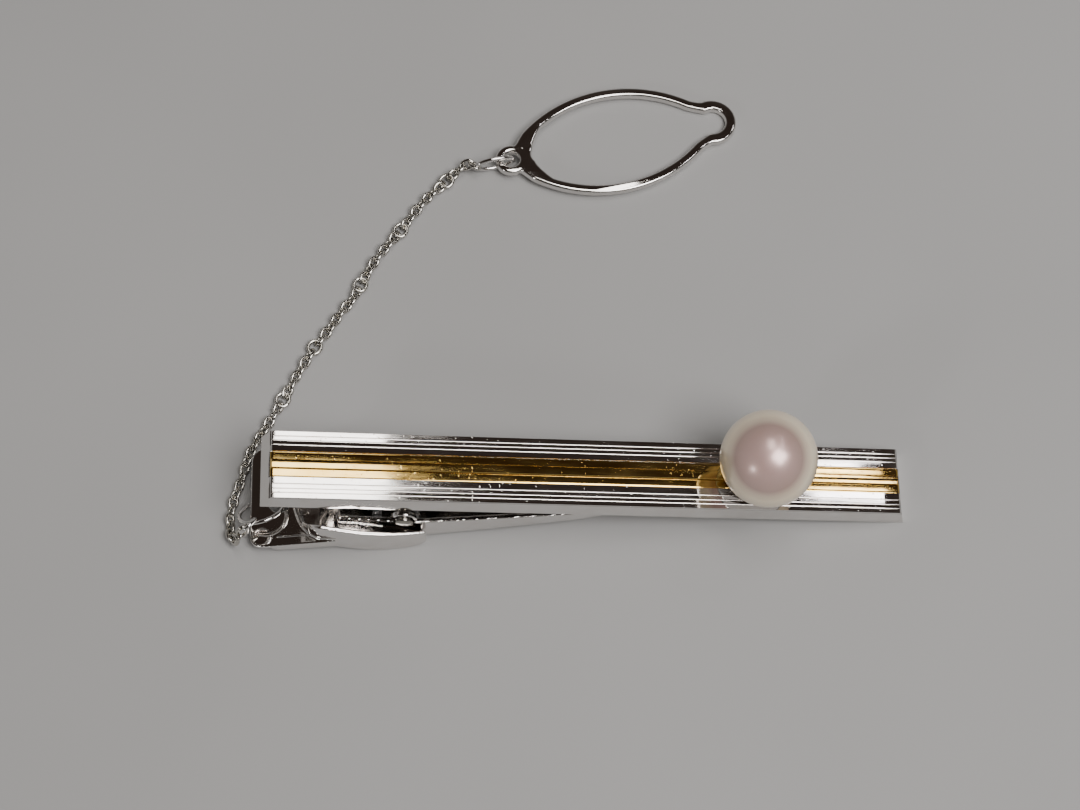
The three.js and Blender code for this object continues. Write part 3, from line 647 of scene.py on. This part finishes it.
def pearl_bezel():
    """The thin cup that the pearl is glued into, with a rolled rim."""
    inner = PEARL_RADIUS + GLUE_GAP
    outer = inner + CUP_THICKNESS
    steps = 14
    rim = math.acos(CUP_RIM_DEPTH / inner)
    seat = math.asin(CUP_SEAT_RADIUS / outer)
    profile = []
    for k in range(steps + 1):
        angle = rim * k / steps
        profile.append((inner * math.sin(angle), -inner * math.cos(angle)))
    middle = (inner + outer) / 2
    rim_radius, rim_height = middle * math.sin(rim), -middle * math.cos(rim)
    for k in range(1, CUP_ROLL_STEPS):
        across = -math.cos(math.pi * k / (CUP_ROLL_STEPS - 1)) * math.sin(rim)
        up = math.sin(math.pi * k / CUP_ROLL_STEPS)
        profile.append((rim_radius + CUP_ROLL_RADIUS * across, rim_height + CUP_ROLL_RADIUS * up))
    for k in range(steps + 1):
        angle = rim + (seat - rim) * k / steps
        profile.append((outer * math.sin(angle), -outer * math.cos(angle)))
    base = FACE_HEIGHT + GOLD_RIB_HEIGHT + CUP_CLEARANCE - PEARL_CENTRE_HEIGHT
    profile += [(CUP_SEAT_RADIUS - 0.1, base), (0, base)]
    points, faces = turned(profile, 96)
    piece("pearl_bezel", points, faces, SILVER, "bar", ["pearl_cup"], PEARL_PLACE)


pearl_ball()
pearl_bezel()

# ---------- clip ----------


def stamped(name, node, body, material, voxel, rounds):
    """A stamped sheet piece with softly rounded edges, from its CAD solid."""
    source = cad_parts[node]
    made = source.copy()
    made.data = source.data.copy()
    made.name = made.data.name = name
    for key in list(made.keys()):
        del made[key]
    made.parent = None
    made.matrix_world = Matrix.Identity(4)
    bpy.context.scene.collection.objects.link(made)
    remesh = made.modifiers.new("even", "REMESH")
    remesh.mode = "VOXEL"
    remesh.voxel_size = voxel * MM
    smooth = made.modifiers.new("soften", "SMOOTH")
    smooth.factor = 0.5
    smooth.iterations = rounds
    evaluated = made.evaluated_get(bpy.context.evaluated_depsgraph_get())
    mesh = bpy.data.meshes.new_from_object(evaluated)
    made.modifiers.clear()
    made.data = mesh
    mesh.materials.clear()
    mesh.materials.append(material)
    for polygon in mesh.polygons:
        polygon.use_smooth = True
    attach(made, body)
    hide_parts(node)


stamped("lever_shell", "thumb_lever", "clip", SILVER, 0.07, 10)
stamped("jaw_trough", "jaw_arm", "clip", SILVER, 0.07, 8)
stamped("bracket_plate", "hinge_bracket", "bar", INSIDE_SILVER, 0.06, 6)


def pad_beads():
    """Two fine raised lines along the thumb pad, each a short way in from its edge."""
    parts = []
    for side in (-1, 1):
        ends = []
        for x in (PAD_BEAD_START_X, PAD_BEAD_END_X):
            ends.append((x, side * PAD_BEAD_Y, PAD_TOP_START + (x - PAD_START_X) * PAD_TOP_SLOPE))
        route = [Vector(ends[0]).lerp(Vector(ends[1]), k / 12) for k in range(13)]
        parts.append(tube(route, PAD_BEAD_RADIUS, 12))
    points, faces = joined(parts)
    piece("pad_beads", points, faces, SILVER, "clip", sharp=math.pi)


pad_beads()


def pin_centre():
    low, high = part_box("hinge_pin")
    return (low + high) / 2 / MM


def riveted_pin():
    """The hinge pin, with a low domed head riveted on each end."""
    head = []
    for k in range(9):
        angle = math.pi / 2 * k / 8
        head.append((
            PIN_HEAD_RADIUS * math.sin(angle),
            PIN_HALF_LENGTH - PIN_HEAD_THICKNESS * 0.5 * (1 - math.cos(angle)),
        ))
    head.append((PIN_HEAD_RADIUS, PIN_HALF_LENGTH - PIN_HEAD_THICKNESS))
    head.append((PIN_RADIUS, PIN_HALF_LENGTH - PIN_HEAD_THICKNESS))
    profile = [(radius, -height) for radius, height in head]
    profile += list(reversed(head))
    points, faces = turned(profile, 48)
    place = Matrix.Translation(pin_centre()) @ Matrix.Rotation(math.pi / 2, 4, "X")
    piece("riveted_pin", points, faces, INSIDE_SILVER, "clip", ["hinge_pin"], place)


def coiled_spring():
    """A torsion spring round the pin, with one leg under the bar and one on the jaw arm."""
    centre = pin_centre()
    leg = SPRING_HALF_LENGTH
    upper_x, upper_z = SPRING_UPPER_END
    lower_x, lower_z = SPRING_LOWER_END
    over = (upper_z + centre.z + SPRING_COIL_RADIUS) / 2 + SPRING_UPPER_BOW
    under = (lower_z + centre.z - SPRING_COIL_RADIUS) / 2 + SPRING_LOWER_BOW
    route = [(upper_x, -leg, upper_z), ((upper_x + centre.x) / 2, -leg, over)]
    for k in range(SPRING_STEPS + 1):
        share = k / SPRING_STEPS
        angle = SPRING_FIRST_ANGLE + (SPRING_LAST_ANGLE - SPRING_FIRST_ANGLE) * share
        route.append((
            centre.x + SPRING_COIL_RADIUS * math.cos(angle),
            -leg + 2 * leg * share,
            centre.z + SPRING_COIL_RADIUS * math.sin(angle),
        ))
    route += [((lower_x + centre.x) / 2, leg, under), (lower_x, leg, lower_z)]
    points, faces = tube(smooth_route(route, 2), SPRING_WIRE_RADIUS, 12, start_normal=(0, 1, 0))
    made = piece("coiled_spring", points, faces, SPRING_STEEL, None, ["torsion_spring"],
                 sharp=math.pi)
    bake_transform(made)


riveted_pin()
coiled_spring()

# ---------- rings ----------


def ring_frame(node):
    """Middle, two in-plane directions and half lengths of a CAD ring, in millimetres."""
    cloud = np.array([vertex.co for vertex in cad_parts[node].data.vertices]) / MM
    low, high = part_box(node)
    middle = cloud.mean(axis=0)
    values, vectors = np.linalg.eigh(np.cov((cloud - middle).T))
    order = np.argsort(values)[::-1]
    directions = [Vector(vectors[:, k]) for k in order]
    spans = []
    for direction in directions:
        reach = (cloud - middle) @ np.array(direction)
        spans.append((reach.min(), reach.max()))
    centre = Vector(middle)
    for direction, (least, most) in zip(directions, spans):
        centre += direction * (least + most) / 2
    halves = [(most - least) / 2 for least, most in spans]
    return centre, directions, halves


def wire_ring(name, node, body, wire, material, steps=72, sides=16):
    centre, (first, second, _), halves = ring_frame(node)
    route = []
    for k in range(steps):
        angle = 2 * math.pi * k / steps
        route.append(
            centre
            + first * (halves[0] - wire) * math.cos(angle)
            + second * (halves[1] - wire) * math.sin(angle)
        )
    points, faces = tube(route, wire, sides, closed=True, start_normal=first.cross(second))
    return piece(name, points, faces, material, body, [node], sharp=math.pi)


wire_ring("tail_jump_ring", "tail_ring", "tail_rings", TAIL_RING_WIRE, SILVER)
wire_ring("connector_jump_ring", "connector_ring", "tail_rings", CONNECTOR_WIRE, SILVER)
end_ring = wire_ring("end_jump_ring", "end_ring", "end_link", END_RING_WIRE, SILVER)

# ---------- button loop ----------

LOOP_PLACE = (
    Matrix.Translation((LOOP_EYE[0], LOOP_EYE[1], LOOP_LENGTH_TO_END * math.sin(LOOP_TILT)))
    @ Matrix.Rotation(LOOP_ANGLE, 4, "Z")
    @ Matrix.Rotation(LOOP_TILT, 4, "Y")
)
LOOP_BEVEL = 0.22
# Along the loop from its eye: where the outer and inner edges of the bow start and end.
OUTER_BOW = (1.45, 17.75)
INNER_BOW = (3.3, 17.25)
WINDOW_START_U = 2.95
WINDOW_START_RADIUS = 1.0
WINDOW_CORNER = (2.28, 1.15)


def bow_points(start, end, inset, steps):
    radius = BOW_RADIUS - inset
    points = []
    for k in range(steps + 1):
        u = start + (end - start) * k / steps
        points.append((u, BOW_HALF_HEIGHT - BOW_RADIUS + math.sqrt(radius ** 2 - (u - BOW_CENTRE_U) ** 2)))
    return points


def arc_points(centre, radius, start, end, steps):
    points = []
    for k in range(steps + 1):
        angle = start + (end - start) * k / steps
        points.append((centre + radius * math.cos(angle), radius * math.sin(angle)))
    return points


def mirrored(points):
    below = [(u, -v) for u, v in reversed(points) if abs(v) > 1e-9]
    return points + below


CORNER_TURN = 0.12  # radians: a sharper turn than this is a corner


def rounded_outline(points, passes):
    """Softens the corners of a closed outline without moving its long curves."""
    points = [Vector((u, v)) for u, v in points]
    for _ in range(passes):
        count = len(points)
        made = []
        for k in range(count):
            a, b, c = points[k - 1], points[k], points[(k + 1) % count]
            before, after = b - a, c - b
            turn = before.angle(after) if min(before.length, after.length) > 1e-9 else 0
            if turn > CORNER_TURN:
                made.append(a.lerp(b, 0.7))
                made.append(b.lerp(c, 0.3))
            else:
                made.append(b)
        points = made
    return [tuple(point) for point in points]


def loop_outlines():
    """The loop's outer edge, its keyhole-shaped window and the hole of its eye."""
    outer = mirrored([
        *arc_points(0, EYE_RADIUS, math.pi, math.pi * 0.36, 24),
        *bow_points(*OUTER_BOW, 0, 60),
        *arc_points(KEYHOLE_U, KEYHOLE_RADIUS, math.pi * 0.58, 0, 24),
    ])
    window = mirrored([
        *arc_points(WINDOW_START_U, WINDOW_START_RADIUS, math.pi, math.pi * 0.78, 4),
        WINDOW_CORNER,
        *bow_points(*INNER_BOW, BAND_WIDTH, 50),
        *arc_points(KEYHOLE_U, KEYHOLE_INNER_RADIUS, math.pi * 0.62, 0, 20),
    ])
    eye = arc_points(0, EYE_HOLE_RADIUS, 0, 2 * math.pi, 48)[:-1]
    return rounded_outline(outer, 3), rounded_outline(window, 3), eye


def button_loop():
    """The flat loop, filled between its outlines and rounded along its edges."""
    data = bpy.data.curves.new("loop_outline", "CURVE")
    data.dimensions = "2D"
    data.fill_mode = "BOTH"
    data.extrude = (LOOP_THICKNESS / 2 - LOOP_BEVEL) * MM
    data.bevel_depth = LOOP_BEVEL * MM
    data.bevel_resolution = 3
    data.offset = -LOOP_BEVEL * MM
    for outline in loop_outlines():
        spline = data.splines.new("POLY")
        spline.points.add(len(outline) - 1)
        for target, (u, v) in zip(spline.points, outline):
            target.co = (u * MM, v * MM, 0, 1)
        spline.use_cyclic_u = True
    source = bpy.data.objects.new("loop_outline", data)
    bpy.context.scene.collection.objects.link(source)
    evaluated = source.evaluated_get(bpy.context.evaluated_depsgraph_get())
    mesh = bpy.data.meshes.new_from_object(evaluated)
    bpy.data.objects.remove(source)
    place = LOOP_PLACE @ Matrix.Translation((0, 0, LOOP_THICKNESS / 2))
    place.translation *= MM
    mesh.transform(place)
    finish_mesh(mesh, math.radians(32))
    mesh.materials.clear()
    mesh.materials.append(SILVER)
    made = bpy.data.objects.new("button_keyhole_loop", mesh)
    bpy.context.scene.collection.objects.link(made)
    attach(made, "loop")
    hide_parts("button_loop")
    return made


button_keyhole = button_loop()

# ---------- chain ----------

LINK_WIRE = 0.16
SMALL_LINK = (0.57, 0.39)  # half length and half width of the wire's middle line
ROUND_LINK = (0.64, 0.56)
# Where each round link lies: its distance in X from the start of the bar's face, and its Y.
ROUND_LINK_PLACES = [(0.1, 8.8), (2.9, 14.4), (7.0, 20.4), (10.6, 25.9), (14.4, 30.4)]
LINK_SLACK = 0.02
LINK_END_PLAY = 0.05
LAST_LINK_REACH = 0.35
LINK_STEPS = 30
LINK_SIDES = 8
LINK_ROLL = math.radians(45)
LINK_ROLL_SPREAD = math.radians(9)
LINK_ROLL_WAVE = 1.7
ROUND_LINK_ROLL = 0.12
LINK_SQUARENESS = 0.92  # 1 is an ellipse, and less is squarer


def link(centre, tangent, half_length, half_width, roll):
    """One oval link along the tangent, rolled about it from lying flat."""
    side = Vector((0, 0, 1)).cross(tangent).normalized()
    up = tangent.cross(side)
    across = side * math.cos(roll) + up * math.sin(roll)
    route = []
    for k in range(LINK_STEPS):
        angle = 2 * math.pi * k / LINK_STEPS
        cosine, sine = math.cos(angle), math.sin(angle)
        along = half_length * math.copysign(abs(cosine) ** LINK_SQUARENESS, cosine)
        out = half_width * math.copysign(abs(sine) ** LINK_SQUARENESS, sine)
        route.append(centre + tangent * along + across * out)
    return tube(route, LINK_WIRE, LINK_SIDES, closed=True, start_normal=tangent.cross(across))


def along_route(route):
    """A function from distance along the route to its point and direction, and the route's length."""
    lengths = [0.0]
    for a, b in zip(route, route[1:]):
        lengths.append(lengths[-1] + (b - a).length)

    def at(distance):
        distance = min(max(distance, 0.0), lengths[-1])
        k = int(np.searchsorted(lengths, distance, side="right")) - 1
        k = min(k, len(route) - 2)
        span = lengths[k + 1] - lengths[k]
        point = route[k].lerp(route[k + 1], (distance - lengths[k]) / span if span else 0)
        ahead = route[min(k + 3, len(route) - 1)]
        behind = route[max(k - 2, 0)]
        return point, (ahead - behind).normalized()

    return at, lengths[-1]


def distance_nearest(at, total, place):
    """Distance along the route of its point nearest to a place on the table."""
    tries = 400
    best = min(range(tries), key=lambda k: (at(total * k / (tries - 1))[0].xy - place).length)
    return total * best / (tries - 1)


def link_places(at, total):
    """(distance along the route, size) of every link, each hooked into the one before it."""
    step = 2 * SMALL_LINK[0] - 2 * LINK_WIRE - LINK_SLACK
    round_at = []
    for x, y in ROUND_LINK_PLACES:
        round_at.append(distance_nearest(at, total, Vector((x + BAR_FACE_START_X, y))))
    round_at.sort()
    end = total - SMALL_LINK[0] + 2 * LINK_WIRE
    places = [(SMALL_LINK[0] - 2 * LINK_WIRE - LINK_END_PLAY, SMALL_LINK)]
    while True:
        distance, before = places[-1]
        size = SMALL_LINK
        if round_at and distance + step > round_at[0]:
            size = ROUND_LINK
            round_at.pop(0)
        distance += before[0] + size[0] - 2 * LINK_WIRE - LINK_SLACK
        if distance > end + LAST_LINK_REACH:
            break
        places.append((distance, size))
    stretch = (end + LINK_END_PLAY) / places[-1][0]
    return [(distance * stretch, size) for distance, size in places]


def chain_links():
    """Every link of the safety chain, from the connector ring to the end ring."""
    route = smooth_route(CHAIN_ROUTE, 8)
    at, total = along_route(route)
    parts = []
    for k, (distance, size) in enumerate(link_places(at, total)):
        point, tangent = at(distance)
        roll = (LINK_ROLL if k % 2 else -LINK_ROLL) + LINK_ROLL_SPREAD * math.sin(LINK_ROLL_WAVE * k)
        if size is ROUND_LINK:
            roll = ROUND_LINK_ROLL
        parts.append(link(point, tangent, *size, roll))
    points, faces = joined(parts)
    made = piece("safety_chain_links", points, faces, CHAIN_SILVER, None, ["safety_chain"],
                 sharp=math.pi)
    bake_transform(made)


chain_links()

# ---------- the peg under the pearl ----------


def dress(node, material, width):
    """A finish and softened edges for a CAD piece."""
    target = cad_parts[node]
    target.data.materials.clear()
    target.data.materials.append(material)
    soften_edges(target, width)


dress("pearl_peg", INSIDE_SILVER, 0.03)

# ---------- table and light ----------

TABLE_HALF_SIDE = 3000.0

# Each lamp's name, centre, aim, width, height, power in watts and colour.
LAMPS = [
    ("ceiling_lamp", (31, 88, 400), (31, 88, 0), 84, 154, 0.26, (1.0, 0.97, 0.93)),
    ("main_lamp", (155, -115, 400), (0, 0, 0), 210, 210, 1.6, (1.0, 0.97, 0.96)),
    ("far_strip", (210, 214, 400), (210, 214, 0), 30, 56, 0.06, (1.0, 0.96, 0.98)),
    ("near_strip", (210, 82, 400), (210, 82, 0), 30, 62, 0.06, (1.0, 0.96, 0.98)),
    ("small_lamp", (-372, -338, 284), (0, 0, 0), 70, 70, 0.25, (1.0, 0.98, 0.95)),
]

# Room brightness by the sine of the height over the horizon: pale walls under a dark ceiling.
ROOM_TONES = [
    (0.0, (0.30, 0.30, 0.30)),
    (0.45, (0.20, 0.195, 0.19)),
    (0.68, (0.055, 0.045, 0.04)),
    (0.82, (0.030, 0.022, 0.018)),
]


def table():
    mesh = bpy.data.meshes.new("table")
    half = TABLE_HALF_SIDE * MM
    corners = [(-half, -half, 0), (half, -half, 0), (half, half, 0), (-half, half, 0)]
    mesh.from_pydata(corners, [], [(0, 1, 2, 3)])
    mesh.materials.append(table_top())
    made = bpy.data.objects.new("table", mesh)
    bpy.context.scene.collection.objects.link(made)


def panel(name, centre, target, width, height, power, colour):
    """A soft rectangular light aimed at a point, placed in millimetres."""
    data = bpy.data.lights.new(name, "AREA")
    data.shape = "RECTANGLE"
    data.size = width * MM
    data.size_y = height * MM
    data.energy = power
    data.color = colour
    made = bpy.data.objects.new(name, data)
    made.location = Vector(centre) * MM
    direction = (Vector(target) - Vector(centre)).normalized()
    made.rotation_mode = "QUATERNION"
    made.rotation_quaternion = direction.to_track_quat("-Z", "Y")
    bpy.context.scene.collection.objects.link(made)


def surroundings():
    world = bpy.data.worlds.new("room")
    bpy.context.scene.world = world
    world.use_nodes = True
    nodes, links = world.node_tree.nodes, world.node_tree.links
    background = nodes["Background"]
    source = nodes.new("ShaderNodeTexCoord")
    split = nodes.new("ShaderNodeSeparateXYZ")
    links.new(source.outputs["Generated"], split.inputs["Vector"])
    links.new(ramp(nodes, links, split.outputs["Z"], ROOM_TONES), background.inputs["Color"])
    background.inputs["Strength"].default_value = 1.0


table()
surroundings()
for lamp in LAMPS:
    panel(*lamp)
